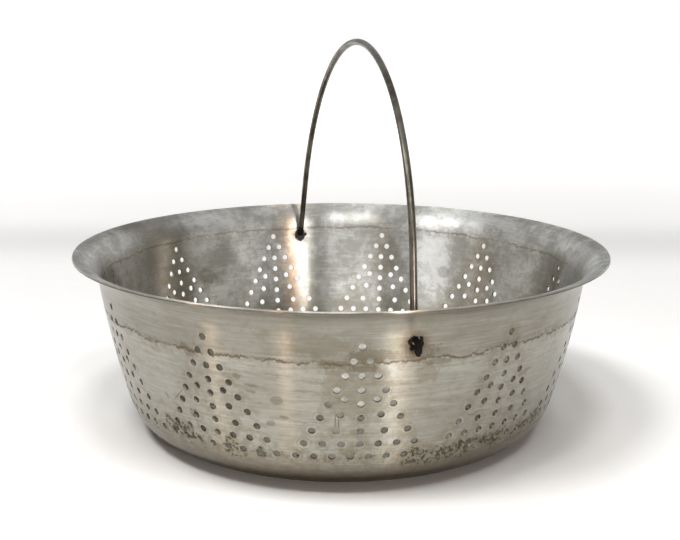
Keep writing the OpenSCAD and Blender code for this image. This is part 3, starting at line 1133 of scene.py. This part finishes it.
bowl.data.materials[CUT_EDGE] = edge_steel("rim_edge", (0.60, 0.585, 0.54, 1), (0.48, 0.46, 0.41, 1), 0.24, 0.85)
bowl.data.materials[HOLE_EDGE] = edge_steel("hole_edge", (0.34, 0.32, 0.28, 1), (0.13, 0.11, 0.08, 1), 0.35, 0)
print("finishes of the bowl:", [m.name for m in bowl.data.materials])

# %% [markdown]
# The wire is darker than the sheet. It has a brown film of old grease that is rubbed away where hands
# hold it, so it gets lighter towards the top, and it is black where it sits in the holes.

# %% Steel of the wire


def wire_steel():
    """Dark drawn wire with a greasy film, black at its ends."""
    material = bpy.data.materials.new("wire_steel")
    material.use_nodes = True
    tree = material.node_tree
    tree.nodes.clear()
    out = put(tree, "ShaderNodeOutputMaterial")
    metal = put(tree, "ShaderNodeBsdfPrincipled", {"Coat Roughness": 0.15, "Specular IOR Level": 0.12})
    tree.links.new(metal.outputs[0], out.inputs[0])
    point = put(tree, "ShaderNodeTexCoord").outputs["Object"]
    height = calc(tree, "MULTIPLY", put(tree, "ShaderNodeSeparateXYZ", {"Vector": point}).outputs[2], 1000)
    film = noise(tree, point, 90, detail=5, rough=0.65)
    grain = noise(tree, point, 700, detail=2, rough=0.5)
    ends = calc(tree, "MULTIPLY", mask(tree, height, 76, 72), mask(tree, film, 0.1, 0.3))
    colour = blend_colour(tree, mask(tree, film, 0.35, 0.7), (0.20, 0.18, 0.145, 1), (0.07, 0.055, 0.038, 1))
    colour = blend_colour(tree, ends, colour, CRUST)
    tree.links.new(colour, metal.inputs["Base Color"])
    clean = calc(tree, "SUBTRACT", 1, ends)
    tree.links.new(clean, metal.inputs["Metallic"])
    tree.links.new(calc(tree, "MULTIPLY", clean, 0.25), metal.inputs["Coat Weight"])
    rough = calc(tree, "ADD", 0.2, calc(tree, "MULTIPLY", film, 0.25))
    tree.links.new(calc(tree, "ADD", rough, calc(tree, "MULTIPLY", ends, 0.5)), metal.inputs["Roughness"])
    bump = put(tree, "ShaderNodeBump", {"Strength": 0.2, "Distance": 0.00008, "Height": grain})
    tree.links.new(bump.outputs[0], metal.inputs["Normal"])
    return material


bail.data.materials.append(wire_steel())
print("finish of the bail:", bail.data.materials[0].name)

# %% [markdown]
# Both pieces now stand for the CAD nodes of the same name, and ride on their bodies, so that the bail
# swings with its joint.

# %% Hang the pieces on the frame
for piece, node, body, finish in ((bowl, "bowl", "bowl_body", "bowl_steel"),
                                  (bail, "bail_handle", "bail_body", "wire_steel")):
    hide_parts(node)
    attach(piece, body)
    print(piece.name, "stands for", node, "and rides on", body)

# %% [markdown]
# The set is plain: a white floor, lit so that the bowl has a soft shadow close round its foot. Lamps
# get weaker with distance, so far from the bowl the floor glows a little by itself and stays white. It
# has one faint grey band of painted shade behind the bowl, where a paper sweep would begin to rise;
# the floor itself is flat.

# %% Floor
FLOOR_SIZE = 12
SHADE_BAND_PLACE = 0.44
SHADE_BAND_WIDTH = 0.13


def pale_floor():
    """A large white floor with a faint band of painted shade across it behind the bowl."""
    start_piece()
    bpy.ops.mesh.primitive_plane_add(size=FLOOR_SIZE, location=(0, 0, 0))
    floor = bpy.context.object
    floor.name = "pale_floor"
    material = bpy.data.materials.new("white_paper")
    material.use_nodes = True
    tree = material.node_tree
    shader = tree.nodes["Principled BSDF"]
    shader.inputs["Roughness"].default_value = 0.7
    point = put(tree, "ShaderNodeTexCoord").outputs["Object"]
    fibres = noise(tree, point, 60, detail=4)
    ahead = (-math.sin(CAMERA_TURN), math.cos(CAMERA_TURN), 0)
    behind = put(tree, "ShaderNodeVectorMath", {0: point, 1: ahead}, operation="DOT_PRODUCT").outputs["Value"]
    away = calc(tree, "ABSOLUTE", calc(tree, "SUBTRACT", behind, SHADE_BAND_PLACE))
    colour = blend_colour(tree, fibres, (0.95, 0.95, 0.95, 1), (0.99, 0.99, 0.99, 1))
    # painted shade: a faint grey band across the flat floor behind the bowl
    colour = blend_colour(tree, mask(tree, away, SHADE_BAND_WIDTH, 0.0), colour, (0.80, 0.80, 0.81, 1))
    tree.links.new(colour, shader.inputs["Base Color"])
    reach = put(tree, "ShaderNodeVectorMath", {0: point}, operation="LENGTH").outputs["Value"]
    shader.inputs["Emission Color"].default_value = (1, 1, 1, 1)
    tree.links.new(calc(tree, "MULTIPLY", mask(tree, reach, 0.25, 1.9), 1.0), shader.inputs["Emission Strength"])
    floor.data.materials.append(material)
    return floor


floor = pale_floor()
print("floor is", FLOOR_SIZE, "m wide")

# %% [markdown]
# Brushed steel shows what stands round it, drawn out into bands, while the floor shows only how much
# light arrives. So the two are lit apart. The steel mirrors a grey sky with a few bright windows, which
# the floor hardly gets light from, and the floor is lit by five fill lamps that the steel doesn't
# mirror. Two upright strips on the right give the white and the warm band inside the bowl and weaker
# ones outside. Two small warm strips stand low on the left.

# %% Light
AIM = Vector((0, 0, RIM_HEIGHT / 2))


def lamp(name, power, width, height, turn, distance, rise, tint=(1, 1, 1)):
    """A soft lamp aimed at the bowl, by its turn from the camera's side and its rise, in degrees."""
    a = CAMERA_TURN + math.radians(turn)
    flat, up = distance * math.cos(math.radians(rise)), distance * math.sin(math.radians(rise))
    place = Vector((math.sin(a) * flat, -math.cos(a) * flat, up))
    bpy.ops.object.light_add(type="AREA", location=place)
    made = bpy.context.object
    made.name = name
    made.data.shape = "RECTANGLE"
    made.data.size = width
    made.data.size_y = height
    made.data.energy = power
    made.data.color = tint
    made.rotation_euler = (AIM - place).to_track_quat("-Z", "Y").to_euler()
    made.visible_camera = False
    return made


def sky_window(tree, turn, rise, place):
    """Mask of one bright window in the sky: its middle, and its half width and height, in degrees."""
    middle_turn, middle_rise, half_width, half_height = place
    off_turn = calc(tree, "ABSOLUTE", calc(tree, "SUBTRACT", turn, middle_turn))
    off_rise = calc(tree, "ABSOLUTE", calc(tree, "SUBTRACT", rise, middle_rise))
    return calc(tree, "MULTIPLY", mask(tree, off_turn, half_width + 2, half_width - 2),
                mask(tree, off_rise, half_height + 2, half_height - 2))


def studio_sky(low, high, behind, windows, dull):
    """Light from all round, with a backdrop behind the bowl and windows, for what is glossy. What is dull
    gets only a weak warm light from it, and the camera sees white."""
    world = bpy.data.worlds.new("studio")
    world.use_nodes = True
    tree = world.node_tree
    tree.nodes.clear()
    out = put(tree, "ShaderNodeOutputWorld")
    path = put(tree, "ShaderNodeLightPath")
    way = put(tree, "ShaderNodeTexCoord").outputs["Generated"]
    to_camera = (math.sin(CAMERA_TURN), -math.cos(CAMERA_TURN), 0)
    to_right = (math.cos(CAMERA_TURN), math.sin(CAMERA_TURN), 0)
    front = put(tree, "ShaderNodeVectorMath", {0: way, 1: to_camera}, operation="DOT_PRODUCT").outputs["Value"]
    right = put(tree, "ShaderNodeVectorMath", {0: way, 1: to_right}, operation="DOT_PRODUCT").outputs["Value"]
    up = put(tree, "ShaderNodeSeparateXYZ", {"Vector": way}).outputs[2]
    turn = calc(tree, "MULTIPLY", calc(tree, "ARCTAN2", right, front), 180 / math.pi)
    rise = calc(tree, "MULTIPLY", calc(tree, "ARCSINE", up), 180 / math.pi)
    glow = calc(tree, "ADD", low, calc(tree, "MULTIPLY", mask(tree, up, 0.2, 1.0), high - low))
    paper = calc(tree, "MULTIPLY", mask(tree, front, -0.05, -0.6), mask(tree, up, 0.75, 0.35))
    glow = calc(tree, "ADD", glow, calc(tree, "MULTIPLY", paper, behind))
    for level, place in windows:
        glow = calc(tree, "ADD", glow, calc(tree, "MULTIPLY", sky_window(tree, turn, rise, place), level))
    shade = put(tree, "ShaderNodeBackground", {"Color": (1, 0.87, 0.68, 1), "Strength": dull})
    mirrored = put(tree, "ShaderNodeBackground", {"Color": (0.97, 0.98, 1, 1), "Strength": glow})
    backdrop = put(tree, "ShaderNodeBackground", {"Color": (1, 1, 1, 1), "Strength": 1.0})
    light = shade
    for ray, other in (("Is Glossy Ray", mirrored), ("Is Camera Ray", backdrop)):
        both = put(tree, "ShaderNodeMixShader")
        tree.links.new(path.outputs[ray], both.inputs[0])
        tree.links.new(light.outputs[0], both.inputs[1])
        tree.links.new(other.outputs[0], both.inputs[2])
        light = both
    tree.links.new(light.outputs[0], out.inputs[0])
    bpy.context.scene.world = world
    return world


lamp("right_strip", 11, 0.1, 0.5, 22.6, 2.0, 12)
lamp("right_warm_strip", 2.6, 0.06, 0.5, 27.8, 2.0, 12, (1, 0.5, 0.2))
lamp("low_warm_strip", 0.5, 0.04, 0.08, -22.5, 0.9, 3, (1, 0.72, 0.55))
lamp("side_warm_strip", 0.42, 0.04, 0.08, -55, 0.9, 3, (1, 0.72, 0.55))
for name, power, size, turn, rise in (("left_fill", 11.5, 0.36, -45, 65), ("front_fill", 8.4, 0.32, 0, 71),
                                      ("right_fill", 5.2, 0.36, 45, 63), ("side_fill", 4.0, 0.3, -90, 58),
                                      ("back_fill", 2.8, 0.5, 180, 35)):
    fill = lamp(name, power, size, size, turn, 1.6, rise, (1, 0.995, 0.985))
    fill.visible_glossy = False
studio_sky(0.29, 0.64, 0.27, ((7.0, (-7, 48, 17, 8)), (6.8, (-60, 42, 12, 8)), (2.4, (-79, 38, 8, 8)),
                              (0.6, (-42, 8, 20, 8)), (0.8, (42, 8, 20, 8))), 0.05)
bpy.context.scene.view_settings.view_transform = "Standard"
